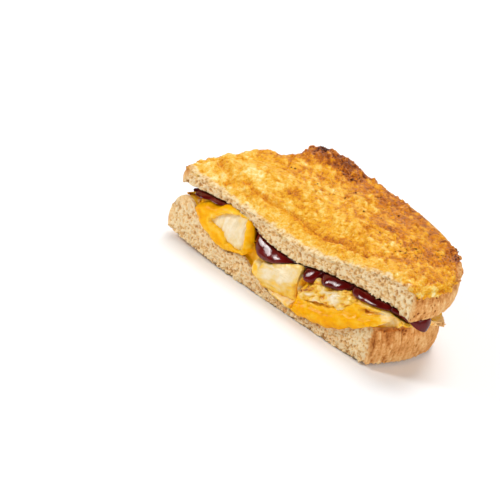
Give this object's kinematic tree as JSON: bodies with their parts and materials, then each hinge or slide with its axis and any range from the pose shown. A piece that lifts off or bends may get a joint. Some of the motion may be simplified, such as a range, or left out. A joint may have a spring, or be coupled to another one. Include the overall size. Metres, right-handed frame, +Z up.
{
  "type": "chicken melt sandwich half",
  "caption": "Half of a toasted chicken and cheese melt with cranberry sauce, cut lengthways and lying flat, its cut side showing the layers.",
  "frame": {"origin": "middle of the base of the box round the half sandwich, on the surface it lies on", "axes": "+X along the cut towards the gaping crust end, +Y from the cut face towards the back crust, +Z up"},
  "size_m": [0.1248, 0.063, 0.0403],
  "materials": {
    "bread": "porous cream crumb with a golden-brown crust, dry and matt",
    "browned_cheese": "grilled yellow-orange cheese coat, blistered, with browned patches and dark specks",
    "melted_cheese": "soft glossy orange-yellow melted cheese",
    "chicken": "pale cooked chicken with fine grain, moist",
    "sauce": "dark maroon sauce, wet and glossy"
  },
  "bodies": {
    "root": {"bread_bottom": "bread", "bread_top": "bread", "cheese_topping": "browned_cheese", "cheese_filling": "melted_cheese", "chicken_1": "chicken", "chicken_2": "chicken", "chicken_3": "chicken", "chicken_4": "chicken", "cranberry_sauce": "sauce"}
  },
  "joints": []
}
